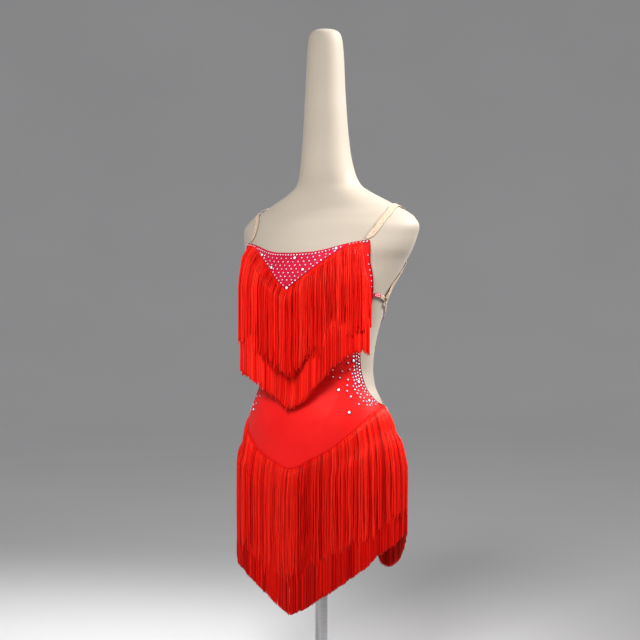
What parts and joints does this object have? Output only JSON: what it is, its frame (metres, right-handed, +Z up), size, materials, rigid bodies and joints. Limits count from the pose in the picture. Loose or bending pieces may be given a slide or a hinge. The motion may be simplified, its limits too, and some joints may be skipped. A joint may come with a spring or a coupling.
{
  "type": "fringed dance dress on a dress form",
  "caption": "Sleeveless dance dress with tiers of long fringe at bust and hips, crystal yoke and crossed back straps, worn by a limbless dress form on a pole stand.",
  "frame": {"origin": "middle of the foot plate's underside", "axes": "+Z up, the front of the dress faces -Y, the wearer's left is +X"},
  "size_m": [0.392, 0.3, 1.28],
  "materials": {
    "form_cover": "smooth cream jersey stretched over the form",
    "stand_steel": "satin brushed steel",
    "satin": "bright red stretch satin with a soft sheen",
    "fringe": "glossy twisted rayon fringe",
    "elastic": "flat nude elastic",
    "crystal": "small faceted crystals with a foiled back"
  },
  "bodies": {
    "root": {"form_torso": "form_cover", "form_pole": "stand_steel", "form_base": "stand_steel", "front_panel": "satin", "skirt_front": "satin", "skirt_back": "satin", "crystal_yoke": "satin", "low_back_band": "satin", "shoulder_strap_left": "elastic", "back_strap_left": "elastic", "side_loop_left": "satin", "shoulder_strap_right": "elastic", "back_strap_right": "elastic", "side_loop_right": "satin", "bust_fringe_upper": "fringe", "bust_fringe_lower": "fringe", "skirt_fringe_upper_front": "fringe", "skirt_fringe_upper_back": "fringe", "skirt_fringe_lower_front": "fringe", "skirt_fringe_lower_back": "fringe"}
  },
  "joints": []
}
